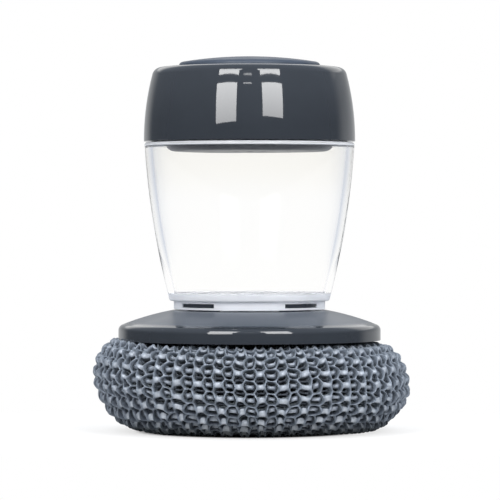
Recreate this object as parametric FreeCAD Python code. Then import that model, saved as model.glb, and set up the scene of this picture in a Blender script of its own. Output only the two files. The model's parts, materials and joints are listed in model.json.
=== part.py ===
import FreeCAD, Part
import math
import os

# A soap-dispensing dish wand that is held in the palm. A press button in a screw cap pumps air into a
# clear soap tank, soap leaves through a slit valve in the tank's floor, and runs through a twist-on head
# into a knitted scouring ball. Millimetres, +Z up, origin at the centre of the flat under the ball.
# A value named RADIUS or BORE is a radius, and one named CIRCLE is the radius of a ring of features.

# Scouring ball
BALL_RADIUS = 42.5
BALL_HEIGHT = 24.0
BALL_EQUATOR = 12.8  # height of the widest ring
BALL_FLAT_RADIUS = 27.0  # flat that the wand stands on
BALL_SHOULDER_RADIUS = 31.0  # where the flat top begins to round off
SOFT_GAP = 0.2  # room between the knit and the plastic that holds it

# Ball carrier, retainer and tie inside the ball
CARRIER_RADIUS = 24.0
CARRIER_THICKNESS = 1.6
NOZZLE_RADIUS = 3.5
CLAMP_GAP = 2.2  # room for the gathered knit between carrier and retainer
RETAINER_RADIUS = 22.0
RETAINER_THICKNESS = 1.8
DRAIN_RADIUS = 1.5
DRAIN_COUNT = 6
POST_CIRCLE = 10.5
POST_RADIUS = 2.6
TIE_RADIUS = 0.8  # of the cord's own section
TIE_CLEARANCE = 0.5

# Self-tapping screws
SCREW_COUNT = 3
SCREW_RADIUS = 1.0
SCREW_CLEARANCE = 0.06
SCREW_HEAD_RADIUS = 2.1
SCREW_HEAD_HEIGHT = 1.4
SCREW_END_GAP = 0.4  # hole left beyond the screw's end
SCREW_SKIN = 0.8  # wall left beyond a blind screw hole
RECESS_WIDTH = 0.5
RECESS_LENGTH = 2.2
RECESS_DEPTH = 0.7

# Base cover
BASE_RADIUS = 35.0
BASE_GAP = 0.4  # between the ball's top and the cover's rim
RIM_HEIGHT = 3.7
RIM_ROUNDING = 1.6
CONE_RISE = 4.3
CONE_BULGE = 0.4
COVER_WALL = 2.0
PLATEAU_MARGIN = 0.3

# Soap way from the tank's spigot to the head
OUTLET_RADIUS = 3.0
VALVE_RADIUS = 4.1
VALVE_FLANGE = 1.2
VALVE_SKIN = 0.7
VALVE_DEPTH = 3.2  # how far the slit dome hangs below its flange
VALVE_CLEARANCE = 0.3
VALVE_SLIT = 0.15
VALVE_RETAINER_THICKNESS = 1.5
VALVE_RETAINER_WALL = 1.3
FIT_CLEARANCE = 0.06  # rings that are pushed into a bore
SPIGOT_WALL = 1.8
SPIGOT_REACH = 0.6  # how far the spigot goes into its seal
FOOT_SEAL_WIDTH = 1.1
FOOT_SEAL_THICKNESS = 1.4
TUBE_WALL = 1.5
TUBE_LIP = 2.2
TUBE_LIP_THICKNESS = 1.2
HUB_SEAL_THICKNESS = 1.2
HUB_SEAL_WIDTH = 2.0

# Twist lock between the head's hub and the socket ring
HUB_CLEARANCE = 0.7
HUB_WALL = 2.0
HUB_MARGIN = 0.05  # of the hub, above its lugs
LUG_COUNT = 3
LUG_SWEEP = 50.0
LUG_DEPTH = 1.4
LUG_THICKNESS = 1.0
LUG_CLEARANCE = 0.3
LUG_LEAD = 9.0  # drop per turn
LUG_RISE = 1.2  # from the socket ring's foot to the middle of its lugs
RIDGE_ROOT = 0.3  # how deep a lug or thread is rooted in its wall
SOCKET_WALL = 2.0
SOCKET_FLANGE_THICKNESS = 2.2
SOCKET_FLANGE_MARGIN = 0.9
SOCKET_BOSS_RADIUS = 2.6
SOCKET_GAP = 0.6  # between the socket ring's foot and the ball carrier
SOCKET_TOP_GAP = 0.1

# Soap tank
TANK_BOTTOM_RADIUS = 21.3
TANK_HEIGHT = 42.2
TANK_BULGE = 1.05  # how far the wall bows out from a straight cone
TANK_WALL = 2.0
TANK_FLOOR = 2.0
TANK_ROUNDING = 0.6
SHOULDER_THICKNESS = 1.3
FOOT_HEIGHT = 2.2
FOOT_STEP = 1.1
FOOT_WALL = 1.6
FOOT_GAP = 0.3
NECK_BORE = 23.2
NECK_WALL = 1.7
NECK_HEIGHT = 8.9

# Snap hooks that hold the tank's foot on the base cover
SNAP_COUNT = 4
SNAP_BEARING = 45.0
SNAP_SWEEP = 34.0
SNAP_LIP = 0.55  # of the foot, above and below a snap window
SNAP_CLEARANCE = 0.1
SNAP_CLEARANCE_DEG = 0.5
SNAP_RECESS = 0.3  # how far the hooks stay inside the foot's outer face
HOOK_WALL = 1.5
HOOK_CLEARANCE = 0.2

# Screw thread between the cap and the tank's neck
THREAD_PITCH = 3.2
THREAD_SWEEP = 450.0
THREAD_DEPTH = 0.9
THREAD_CLEARANCE = 0.4
THREAD_ROOT_WIDTH = 1.5
THREAD_CREST_WIDTH = 0.7
THREAD_MARGIN = 1.6  # from the neck's rim down to the middle of the thread's end

# Screw cap
CAP_WALL = 2.0
CAP_GAP = 0.3  # between the cap's edge and the tank's shoulder
CAP_OVERHANG = 0.15
CAP_HEIGHT = 20.2
CAP_TAPER = 2.7
CAP_BULGE = 0.7
CAP_TOP_SLOPE = 0.7  # rise of the top from its corner to the button's opening
CAP_TOP_THICKNESS = 1.9
CAP_ROUNDING = 2.4
CAP_LEDGE = 2.0
CAP_BEAD = 0.6
CAP_BEAD_HEIGHT = 1.0
GUIDE_WALL = 1.4
GASKET_THICKNESS = 1.2

# Pump cup, bellows and clamp ring under the button
PLUG_CLEARANCE = 0.5
CUP_WALL = 1.5
CUP_FLOOR = 1.5
CUP_DEPTH = 12.5  # of the plug below the cup's flange
CUP_ROUNDING = 2.8
CUP_FLANGE_THICKNESS = 1.5
CUP_FLANGE_CLEARANCE = 0.3
AIR_PORT_COUNT = 4
AIR_PORT_RADIUS = 1.0
AIR_PORT_CIRCLE = 3.5
BELLOWS_RADIUS = 10.0
BELLOWS_FOLDS = 4
BELLOWS_FOLD_DEPTH = 2.6
BELLOWS_WALL = 1.3  # measured along a radius
BELLOWS_CROWN = 1.2
BELLOWS_FOOT_THICKNESS = 1.2
BELLOWS_FOOT_WIDTH = 2.6
BELLOWS_CLEARANCE = 0.3
CLAMP_THICKNESS = 1.2
CLAMP_RIB_WALL = 1.2

# Press button and its spring
BUTTON_CLEARANCE = 0.8  # between the button's flange and the pump cup
BUTTON_LIP = 1.55
BUTTON_WALL = 1.5
BUTTON_CROWN = 1.8
BUTTON_STEP = 0.8  # how far the button's edge stands above the cap
BUTTON_DOME = 1.6
BUTTON_ROUNDING = 1.0
BUTTON_SKIRT = 7.65
BUTTON_FLANGE = 1.4
BUTTON_BOSS_RADIUS = 6.0
BUTTON_BOSS_LENGTH = 3.55
GUIDE_CLEARANCE = 0.3
STOP_GAP = 0.05  # between the button's flange and the guide that stops it
SPRING_WIRE_RADIUS = 0.6
SPRING_TURNS = 6
SPRING_CLEARANCE = 0.7
SPRING_SEAT_DROP = 1.15
SPRING_SEAT_WIDTH = 3.3
SPRING_END_GAP = 0.05

# Heights, from the ball upwards
carrier_low = BALL_HEIGHT + SOFT_GAP
carrier_top = carrier_low + CARRIER_THICKNESS
retainer_top = carrier_low - CLAMP_GAP
retainer_low = retainer_top - RETAINER_THICKNESS
cavity_low = retainer_low - SCREW_HEAD_HEIGHT - SOFT_GAP
rim_low = BALL_HEIGHT + BASE_GAP
cone_low = rim_low + RIM_HEIGHT
plateau = cone_low + CONE_RISE
tube_low = carrier_top + HUB_SEAL_THICKNESS
foot_seal_low = tube_low + TUBE_LIP_THICKNESS
foot_seal_top = foot_seal_low + FOOT_SEAL_THICKNESS
spigot_low = foot_seal_top - SPIGOT_REACH
foot_low = plateau + FOOT_GAP
floor_low = foot_low + FOOT_HEIGHT
floor_top = floor_low + TANK_FLOOR
valve_flange_low = floor_low - VALVE_FLANGE
hook_top = floor_low - HOOK_CLEARANCE
cover_underside = plateau - COVER_WALL
socket_low = carrier_top + SOCKET_GAP
socket_flange_top = socket_low + SOCKET_FLANGE_THICKNESS
socket_top = cover_underside - SOCKET_TOP_GAP
shoulder = floor_low + TANK_HEIGHT
shoulder_low = shoulder - SHOULDER_THICKNESS
neck_rim = shoulder + NECK_HEIGHT
cup_flange_low = neck_rim + GASKET_THICKNESS
cup_flange_top = cup_flange_low + CUP_FLANGE_THICKNESS
cup_low = cup_flange_low - CUP_DEPTH
cup_floor = cup_low + CUP_FLOOR
bellows_foot_top = cup_floor + BELLOWS_FOOT_THICKNESS
clamp_top = bellows_foot_top + CLAMP_THICKNESS
cap_low = shoulder + CAP_GAP
cap_mouth = cap_low + CAP_HEIGHT  # edge of the round opening for the button
cap_corner = cap_mouth - CAP_TOP_SLOPE
cap_underside = cap_corner - CAP_TOP_THICKNESS
button_edge = cap_mouth + BUTTON_STEP
button_low = cap_mouth - BUTTON_SKIRT
button_flange_top = button_low + BUTTON_FLANGE
guide_low = button_flange_top + STOP_GAP
spring_seat = cap_mouth - SPRING_SEAT_DROP
boss_low = cap_mouth - BUTTON_BOSS_LENGTH

# Radii of the head and base, from the soap way outwards
spigot_bore = VALVE_RADIUS + FIT_CLEARANCE
spigot_radius = spigot_bore + SPIGOT_WALL
foot_seal_bore = spigot_radius + FIT_CLEARANCE
foot_seal_radius = foot_seal_bore + FOOT_SEAL_WIDTH
tube_bore = foot_seal_radius + FIT_CLEARANCE
tube_radius = tube_bore + TUBE_WALL
hub_bore = tube_radius + HUB_CLEARANCE
hub_radius = hub_bore + HUB_WALL
hub_seal_radius = hub_bore - SOFT_GAP
hub_lug_radius = hub_radius + LUG_DEPTH
socket_bore = hub_lug_radius + LUG_CLEARANCE
socket_lug_radius = socket_bore - LUG_DEPTH
socket_radius = socket_bore + SOCKET_WALL
socket_screw_circle = socket_radius + SOCKET_FLANGE_MARGIN + SOCKET_BOSS_RADIUS
socket_flange_radius = socket_screw_circle + SOCKET_BOSS_RADIUS
foot_radius = TANK_BOTTOM_RADIUS - FOOT_STEP
foot_bore = foot_radius - FOOT_WALL
hook_radius = foot_bore - HOOK_CLEARANCE
cone_top_radius = foot_radius + PLATEAU_MARGIN
cover_bore = BASE_RADIUS - COVER_WALL
valve_retainer_bore = VALVE_RADIUS - VALVE_RETAINER_WALL
valve_dome_radius = valve_retainer_bore - VALVE_CLEARANCE
tie_circle = POST_CIRCLE + POST_RADIUS + TIE_CLEARANCE + TIE_RADIUS
ball_bore = tie_circle + TIE_RADIUS + SOFT_GAP
drain_circle = (tie_circle + TIE_RADIUS + RETAINER_RADIUS) / 2

# Radii of the neck, cap and pump, from the filling mouth outwards and inwards
neck_radius = NECK_BORE + NECK_WALL
neck_crest = neck_radius + THREAD_DEPTH
cap_bore = neck_crest + THREAD_CLEARANCE
cap_crest = cap_bore - THREAD_DEPTH
cap_radius = cap_bore + CAP_WALL
cap_corner_radius = cap_radius - CAP_TAPER
cap_upper_bore = cap_bore - CAP_LEDGE
tank_top_radius = cap_radius - CAP_OVERHANG
cup_radius = NECK_BORE - PLUG_CLEARANCE
cup_bore = cup_radius - CUP_WALL
cup_flange_radius = cap_bore - CUP_FLANGE_CLEARANCE
bellows_foot_radius = BELLOWS_RADIUS + BELLOWS_FOOT_WIDTH
clamp_rib_bore = bellows_foot_radius + FIT_CLEARANCE
button_flange_radius = cup_bore - BUTTON_CLEARANCE
button_radius = button_flange_radius - BUTTON_LIP
button_bore = button_radius - BUTTON_WALL
guide_bore = button_radius + GUIDE_CLEARANCE
guide_radius = guide_bore + GUIDE_WALL
spring_radius = button_bore - SPRING_CLEARANCE - SPRING_WIRE_RADIUS

# Middles of the helical thread and lugs
neck_thread_middle = neck_rim - THREAD_MARGIN - THREAD_PITCH * THREAD_SWEEP / 720
cap_thread_middle = neck_thread_middle - THREAD_PITCH / 2
socket_lug_middle = socket_low + LUG_RISE
hub_lug_middle = socket_lug_middle + LUG_THICKNESS + LUG_CLEARANCE
hub_top = hub_lug_middle + LUG_LEAD * LUG_SWEEP / 720 + LUG_THICKNESS / 2 + HUB_MARGIN

ORIGIN = FreeCAD.Vector(0, 0, 0)
UP = FreeCAD.Vector(0, 0, 1)
ASIDE = FreeCAD.Vector(0, 1, 0)
OVERRUN = 1.0  # how far a cutting tool runs past the faces that it opens


def point(radius, height):
    """A point of an outline, in the half-plane through +X."""
    return FreeCAD.Vector(radius, 0, height)


def polar(radius, bearing, height=0.0):
    """A point at that radius, bearing in degrees and height."""
    angle = math.radians(bearing)
    return FreeCAD.Vector(radius * math.cos(angle), radius * math.sin(angle), height)


def line(start, end):
    """A straight edge of an outline, between (radius, height) points."""
    return Part.LineSegment(point(*start), point(*end)).toShape()


def arc(start, middle, end):
    """An edge of an outline on the circle through three points."""
    return Part.Arc(point(*start), point(*middle), point(*end)).toShape()


def quarter(start, corner, end):
    """An edge of an outline that rounds off a corner as a quarter of an ellipse does."""
    pull = 4 * (math.sqrt(2) - 1) / 3
    poles = [point(*start)]
    for foot in (start, end):
        poles.append(point(*foot) + (point(*corner) - point(*foot)) * pull)
    poles.append(point(*end))
    curve = Part.BezierCurve()
    curve.setPoles(poles)
    return curve.toShape()


def outline(start, *steps):
    """A closed wire through (radius, height) corners; a step (edge, via, end) is an arc or a quarter."""
    edges = []
    here = start
    for step in steps + (start,):
        if callable(step[0]):
            make, via, end = step
            edges.append(make(here, via, end))
        else:
            end = step
            edges.append(line(here, end))
        here = end
    return Part.Wire(edges)


def lathe(start, *steps):
    """A solid of revolution about Z with that outline."""
    return Part.Face(outline(start, *steps)).revolve(ORIGIN, UP, 360)


def ring(inner, outer, low, high):
    """A plain tube or washer about Z."""
    return lathe((inner, low), (outer, low), (outer, high), (inner, high))


def sector(inner, outer, low, high, bearing, sweep):
    """A piece of a ring, centred on a bearing, with its sweep in degrees."""
    face = Part.Face(outline((inner, low), (outer, low), (outer, high), (inner, high)))
    face.rotate(ORIGIN, UP, bearing - sweep / 2)
    return face.revolve(ORIGIN, UP, sweep)


def post(radius, low, high, place=ORIGIN):
    """An upright cylinder at a place on the plan."""
    return Part.makeCylinder(radius, high - low, FreeCAD.Vector(place.x, place.y, low), UP)


def cone(low_radius, high_radius, low, high, place=ORIGIN):
    """An upright cone frustum at a place on the plan."""
    return Part.makeCone(low_radius, high_radius, high - low, FreeCAD.Vector(place.x, place.y, low), UP)


def around(count, circle, first=0.0):
    """Evenly spaced places on a circle."""
    return [polar(circle, first + 360.0 * i / count) for i in range(count)]


def bearings(count, first=0.0):
    """Evenly spaced bearings, in degrees."""
    return [first + 360.0 * i / count for i in range(count)]


def round_edge(shape, radius, height, rounding):
    """Rounds the circular edge that lies at that radius and height."""

    def distance(edge):
        corner = edge.Vertexes[0].Point
        return math.hypot(math.hypot(corner.x, corner.y) - radius, corner.z - height)

    closed = [edge for edge in shape.Edges if edge.isClosed()]
    return shape.makeFillet(rounding, [min(closed, key=distance)])


def bulged(low, high, bulge):
    """(centre's radius, centre's height, own radius) of an arc through two points that bows outwards."""
    run = high[0] - low[0]
    rise = high[1] - low[1]
    chord = math.hypot(run, rise)
    arc_radius = (chord**2 / 4 + bulge**2) / (2 * bulge)
    back = (arc_radius - bulge) / chord
    return (low[0] + high[0]) / 2 - back * rise, (low[1] + high[1]) / 2 + back * run, arc_radius


def on_arc(bow, height, inset=0.0):
    """The point of a bulged arc at that height, moved inwards by the inset."""
    return bow[0] + math.sqrt((bow[2] - inset) ** 2 - (height - bow[1]) ** 2), height


def helical_ridge(root, crest, root_width, crest_width, lead, sweep, middle, start):
    """A ridge between two radii on a right-hand helix about Z, from a start bearing over a sweep."""
    rise = lead * sweep / 360
    helix = Part.makeHelix(lead, rise, max(root, crest))
    section = outline(
        (root, -root_width / 2),
        (crest, -crest_width / 2),
        (crest, crest_width / 2),
        (root, root_width / 2),
    )
    ridge = Part.Wire(helix).makePipeShell([section], True, True)
    ridge.rotate(ORIGIN, UP, start)
    ridge.translate(FreeCAD.Vector(0, 0, middle - rise / 2))
    return ridge


def fuse(first, others):
    """One solid of a piece and what is moulded onto it."""
    return first.multiFuse(others).removeSplitter()


def cut(shape, tools):
    """A piece with those tools taken out of it."""
    return shape.cut(Part.makeCompound(tools))


def screw(place, face_radius, root_radius, head_low, tip):
    """A cross-head screw that points up, with a head that tapers from its face to its root."""
    head = cone(face_radius, root_radius, head_low, head_low + SCREW_HEAD_HEIGHT)
    shank = lathe(
        (0, head_low),
        (SCREW_RADIUS, head_low),
        (SCREW_RADIUS, tip - SCREW_RADIUS),
        (0, tip),
    )
    corner = FreeCAD.Vector(-RECESS_LENGTH / 2, -RECESS_WIDTH / 2, head_low - OVERRUN)
    slot = Part.makeBox(RECESS_LENGTH, RECESS_WIDTH, RECESS_DEPTH + OVERRUN, corner)
    cross = slot.copy()
    cross.rotate(ORIGIN, UP, 90)
    body = fuse(head, [shank]).cut(fuse(slot, [cross]))
    body.translate(place)
    return body


def scouring_ball():
    """The soft knitted ball: a flattened cushion, open at the top, hollow round the retainer."""
    cavity_radius = RETAINER_RADIUS + SOFT_GAP
    cavity_top = retainer_top + SOFT_GAP
    return lathe(
        (0, 0),
        (BALL_FLAT_RADIUS, 0),
        (quarter, (BALL_RADIUS, 0), (BALL_RADIUS, BALL_EQUATOR)),
        (quarter, (BALL_RADIUS, BALL_HEIGHT), (BALL_SHOULDER_RADIUS, BALL_HEIGHT)),
        (ball_bore, BALL_HEIGHT),
        (ball_bore, cavity_top),
        (cavity_radius, cavity_top),
        (cavity_radius, cavity_low),
        (0, cavity_low),
    )


def ball_tie():
    """The cord that gathers the knit's neck between the carrier and the retainer."""
    middle = FreeCAD.Vector(0, 0, (carrier_low + retainer_top) / 2)
    return Part.makeTorus(tie_circle, TIE_RADIUS, middle, UP)


def ball_retainer():
    """The plate inside the ball that is screwed up to the carrier's posts."""
    plate = post(RETAINER_RADIUS, retainer_low, retainer_top)
    low = retainer_low - OVERRUN
    high = retainer_top + OVERRUN
    holes = [post(NOZZLE_RADIUS, low, high)]
    holes += [post(DRAIN_RADIUS, low, high, place) for place in around(DRAIN_COUNT, drain_circle)]
    for place in around(SCREW_COUNT, POST_CIRCLE):
        holes.append(post(SCREW_RADIUS + SCREW_CLEARANCE, low, high, place))
    return cut(plate, holes)


def retainer_screws():
    """The pan-head screws under the retainer."""
    tip = carrier_top - SCREW_SKIN - SCREW_END_GAP
    head_low = retainer_low - SCREW_HEAD_HEIGHT
    face_radius = SCREW_HEAD_RADIUS - SCREW_HEAD_HEIGHT / 3
    places = around(SCREW_COUNT, POST_CIRCLE)
    return Part.makeCompound(
        [screw(place, face_radius, SCREW_HEAD_RADIUS, head_low, tip) for place in places]
    )


def ball_carrier():
    """The head's plate with its hub, the lugs that lock it and the posts for the retainer."""
    plate = post(CARRIER_RADIUS, carrier_low, carrier_top)
    places = around(SCREW_COUNT, POST_CIRCLE)
    added = [ring(hub_bore, hub_radius, carrier_low, hub_top)]
    added += [post(POST_RADIUS, retainer_top, carrier_top, place) for place in places]
    for bearing in bearings(LUG_COUNT, -LUG_SWEEP / 2):
        lug = helical_ridge(
            hub_radius - RIDGE_ROOT,
            hub_lug_radius,
            LUG_THICKNESS,
            LUG_THICKNESS,
            LUG_LEAD,
            LUG_SWEEP,
            hub_lug_middle,
            bearing,
        )
        added.append(lug)
    holes = [post(NOZZLE_RADIUS, carrier_low - OVERRUN, carrier_top + OVERRUN)]
    hole_top = carrier_top - SCREW_SKIN
    for place in places:
        holes.append(post(SCREW_RADIUS + SCREW_CLEARANCE, retainer_top - OVERRUN, hole_top, place))
    return cut(fuse(plate, added), holes)


def hub_seal():
    """The flat ring between the head and the base cover's soap tube."""
    return ring(hub_seal_radius - HUB_SEAL_WIDTH, hub_seal_radius, carrier_top, tube_low)


def socket_ring():
    """The ring under the base cover whose lugs hold the head."""
    body = lathe(
        (socket_bore, socket_low),
        (socket_flange_radius, socket_low),
        (socket_flange_radius, socket_flange_top),
        (socket_radius, socket_flange_top),
        (socket_radius, socket_top),
        (socket_bore, socket_top),
    )
    lugs = []
    for bearing in bearings(LUG_COUNT, -LUG_SWEEP / 2):
        lug = helical_ridge(
            socket_bore + RIDGE_ROOT,
            socket_lug_radius,
            LUG_THICKNESS,
            LUG_THICKNESS,
            LUG_LEAD,
            LUG_SWEEP,
            socket_lug_middle,
            bearing,
        )
        lugs.append(lug)
    sink_top = socket_low + SCREW_HEAD_HEIGHT
    holes = []
    for place in around(SCREW_COUNT, socket_screw_circle):
        radius = SCREW_RADIUS + SCREW_CLEARANCE
        holes.append(post(radius, socket_low - OVERRUN, socket_flange_top + OVERRUN, place))
        holes.append(cone(SCREW_HEAD_RADIUS + SCREW_CLEARANCE, radius, socket_low, sink_top, place))
    return cut(fuse(body, lugs), holes)


def socket_screws():
    """The countersunk screws that hold the socket ring."""
    tip = plateau - SCREW_SKIN - SCREW_END_GAP
    places = around(SCREW_COUNT, socket_screw_circle)
    return Part.makeCompound(
        [screw(place, SCREW_HEAD_RADIUS, SCREW_RADIUS, socket_low, tip) for place in places]
    )


def base_cover():
    """The dark disc over the ball, with the hooks for the tank's foot and the tube for the soap."""
    slope = CONE_RISE / (BASE_RADIUS - cone_top_radius)
    inner_corner = cone_low + slope * COVER_WALL - COVER_WALL
    cone = bulged((BASE_RADIUS, cone_low), (cone_top_radius, plateau), CONE_BULGE)
    body = lathe(
        (cover_bore, rim_low),
        (BASE_RADIUS, rim_low),
        (BASE_RADIUS, cone_low),
        (arc, on_arc(cone, (cone_low + plateau) / 2), (cone_top_radius, plateau)),
        (tube_bore, plateau),
        (tube_bore, foot_seal_low),
        (tube_bore - TUBE_LIP, foot_seal_low),
        (tube_bore - TUBE_LIP, tube_low),
        (tube_radius, tube_low),
        (tube_radius, cover_underside),
        (cone_top_radius, cover_underside),
        (cover_bore, inner_corner),
    )
    body = round_edge(body, BASE_RADIUS, cone_low, RIM_ROUNDING)
    places = around(SCREW_COUNT, socket_screw_circle)
    added = [
        post(SOCKET_BOSS_RADIUS, socket_flange_top, plateau - COVER_WALL / 2, place) for place in places
    ]
    snap_low = foot_low + SNAP_LIP + SNAP_CLEARANCE
    snap_high = floor_low - SNAP_LIP - SNAP_CLEARANCE
    for bearing in bearings(SNAP_COUNT, SNAP_BEARING):
        inner = hook_radius - HOOK_WALL
        added.append(sector(inner, hook_radius, plateau - RIDGE_ROOT, hook_top, bearing, SNAP_SWEEP))
        inner = hook_radius - RIDGE_ROOT
        added.append(sector(inner, foot_radius - SNAP_RECESS, snap_low, snap_high, bearing, SNAP_SWEEP))
    hole_top = plateau - SCREW_SKIN
    hole_radius = SCREW_RADIUS + SCREW_CLEARANCE
    holes = [post(hole_radius, socket_flange_top - OVERRUN, hole_top, place) for place in places]
    return cut(fuse(body, added), holes)


def foot_seal():
    """The ring that seals the tank's spigot in the base cover's tube."""
    return ring(foot_seal_bore, foot_seal_radius, foot_seal_low, foot_seal_top)


def valve_retainer():
    """The ring that is pushed into the spigot to hold the valve."""
    return ring(
        valve_retainer_bore,
        VALVE_RADIUS,
        valve_flange_low - VALVE_RETAINER_THICKNESS,
        valve_flange_low,
    )


def outlet_valve():
    """The soft slit valve: a dome that opens when the tank is pressurised."""
    inner = valve_dome_radius - VALVE_SKIN
    dome_low = valve_flange_low - VALVE_DEPTH
    inner_low = dome_low + VALVE_SKIN
    body = lathe(
        (0, dome_low),
        (quarter, (valve_dome_radius, dome_low), (valve_dome_radius, valve_flange_low)),
        (VALVE_RADIUS, valve_flange_low),
        (VALVE_RADIUS, floor_low),
        (inner, floor_low),
        (inner, valve_flange_low),
        (quarter, (inner, inner_low), (0, inner_low)),
    )
    corner = FreeCAD.Vector(-inner / 2, -VALVE_SLIT / 2, dome_low - OVERRUN)
    slit = Part.makeBox(inner, VALVE_SLIT, VALVE_DEPTH, corner)
    return body.cut(slit)


def reservoir():
    """The clear tank: barrel wall, floor with spigot and snap foot, and threaded neck."""
    wall = bulged((TANK_BOTTOM_RADIUS, floor_low), (tank_top_radius, shoulder), TANK_BULGE)
    middle = (floor_low + shoulder) / 2
    body = lathe(
        (NECK_BORE, neck_rim),
        (neck_radius, neck_rim),
        (neck_radius, shoulder),
        (tank_top_radius, shoulder),
        (arc, on_arc(wall, middle), (TANK_BOTTOM_RADIUS, floor_low)),
        (foot_radius, floor_low),
        (foot_radius, foot_low),
        (foot_bore, foot_low),
        (foot_bore, floor_low),
        (spigot_radius, floor_low),
        (spigot_radius, spigot_low),
        (spigot_bore, spigot_low),
        (spigot_bore, floor_low),
        (OUTLET_RADIUS, floor_low),
        (OUTLET_RADIUS, floor_top),
        on_arc(wall, floor_top, TANK_WALL),
        (arc, on_arc(wall, middle, TANK_WALL), on_arc(wall, shoulder_low, TANK_WALL)),
        (NECK_BORE, shoulder_low),
    )
    body = round_edge(body, tank_top_radius, shoulder, TANK_ROUNDING)
    body = round_edge(body, TANK_BOTTOM_RADIUS, floor_low, TANK_ROUNDING)
    thread = helical_ridge(
        neck_radius - RIDGE_ROOT,
        neck_crest,
        THREAD_ROOT_WIDTH,
        THREAD_CREST_WIDTH,
        THREAD_PITCH,
        THREAD_SWEEP,
        neck_thread_middle,
        0.0,
    )
    windows = []
    for bearing in bearings(SNAP_COUNT, SNAP_BEARING):
        windows.append(
            sector(
                foot_bore - HOOK_CLEARANCE / 2,
                foot_radius + OVERRUN,
                foot_low + SNAP_LIP,
                floor_low - SNAP_LIP,
                bearing,
                SNAP_SWEEP + 2 * SNAP_CLEARANCE_DEG,
            )
        )
    return cut(fuse(body, [thread]), windows)


def neck_gasket():
    """The flat ring that the cap presses onto the neck's rim."""
    return ring(NECK_BORE, neck_radius, neck_rim, cup_flange_low)


def pump_cup():
    """The dark cup that hangs in the neck and carries the bellows and the spring."""
    rib_radius = clamp_rib_bore + CLAMP_RIB_WALL
    body = lathe(
        (0, cup_low),
        (cup_radius, cup_low),
        (cup_radius, cup_flange_low),
        (cup_flange_radius, cup_flange_low),
        (cup_flange_radius, cup_flange_top),
        (cup_bore, cup_flange_top),
        (cup_bore, cup_floor),
        (rib_radius, cup_floor),
        (rib_radius, clamp_top),
        (clamp_rib_bore, clamp_top),
        (clamp_rib_bore, cup_floor),
        (0, cup_floor),
    )
    body = round_edge(body, cup_radius, cup_low, CUP_ROUNDING)
    ports = []
    for place in around(AIR_PORT_COUNT, AIR_PORT_CIRCLE):
        ports.append(post(AIR_PORT_RADIUS, cup_low - OVERRUN, cup_floor + OVERRUN, place))
    return cut(body, ports)


def bellows_clamp():
    """The ring that is pushed into the cup's rib to hold the bellows' foot."""
    return ring(BELLOWS_RADIUS + BELLOWS_CLEARANCE, bellows_foot_radius, bellows_foot_top, clamp_top)


def pump_bellows():
    """The soft bellows that the button squeezes."""
    low = bellows_foot_top
    fold = (boss_low - BELLOWS_CROWN - low) / (2 * BELLOWS_FOLDS)
    valley = BELLOWS_RADIUS - BELLOWS_FOLD_DEPTH
    outer = []
    inner = []
    for i in range(2 * BELLOWS_FOLDS + 1):
        radius = BELLOWS_RADIUS if i % 2 else valley
        outer.append((radius, low + i * fold))
        inner.append((radius - BELLOWS_WALL, low + i * fold))
    inner.reverse()
    return lathe(
        (valley - BELLOWS_WALL, cup_floor),
        (bellows_foot_radius, cup_floor),
        (bellows_foot_radius, low),
        *outer,
        (valley, boss_low),
        (0, boss_low),
        (0, boss_low - BELLOWS_CROWN),
        *inner,
    )


def button_spring():
    """The coil spring between the cup's floor and the button: half rings that lean by turns."""
    low = cup_floor + SPRING_WIRE_RADIUS + SPRING_END_GAP
    high = spring_seat - SPRING_WIRE_RADIUS - SPRING_END_GAP
    count = 2 * SPRING_TURNS
    rise = (high - low) / count
    lean = math.atan2(rise / 2, spring_radius)
    circle = Part.Circle(point(spring_radius / math.cos(lean), 0), ASIDE, SPRING_WIRE_RADIUS)
    section = Part.Face(Part.Wire(circle.toShape()))
    halves = []
    for i in range(count):
        half = section.revolve(ORIGIN, UP, 180)
        half.rotate(ORIGIN, ASIDE, math.degrees(lean))
        half.rotate(ORIGIN, UP, 180 * i)
        half.translate(FreeCAD.Vector(0, 0, low + (i + 0.5) * rise))
        halves.append(half)
    return fuse(halves[0], halves[1:])


def cap_shell():
    """The dark screw cap with the guide for the button and the thread for the neck."""
    side = bulged((cap_radius, cap_low), (cap_corner_radius, cap_corner), CAP_BULGE)
    body = lathe(
        (cap_bore, cap_low),
        (cap_radius, cap_low),
        (arc, on_arc(side, (cap_low + cap_corner) / 2), (cap_corner_radius, cap_corner)),
        (guide_bore, cap_mouth),
        (guide_bore, guide_low),
        (guide_radius, guide_low),
        (guide_radius, cap_underside),
        (cap_upper_bore, cap_underside),
        (cap_upper_bore, cup_flange_top),
        (cap_bore, cup_flange_top),
        (cap_bore, cup_flange_low),
        (cap_bore - CAP_BEAD, cup_flange_low),
        (cap_bore, cup_flange_low - CAP_BEAD_HEIGHT),
    )
    body = round_edge(body, cap_corner_radius, cap_corner, CAP_ROUNDING)
    thread = helical_ridge(
        cap_bore + RIDGE_ROOT,
        cap_crest,
        THREAD_ROOT_WIDTH,
        THREAD_CREST_WIDTH,
        THREAD_PITCH,
        THREAD_SWEEP,
        cap_thread_middle,
        0.0,
    )
    return fuse(body, [thread])


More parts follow.
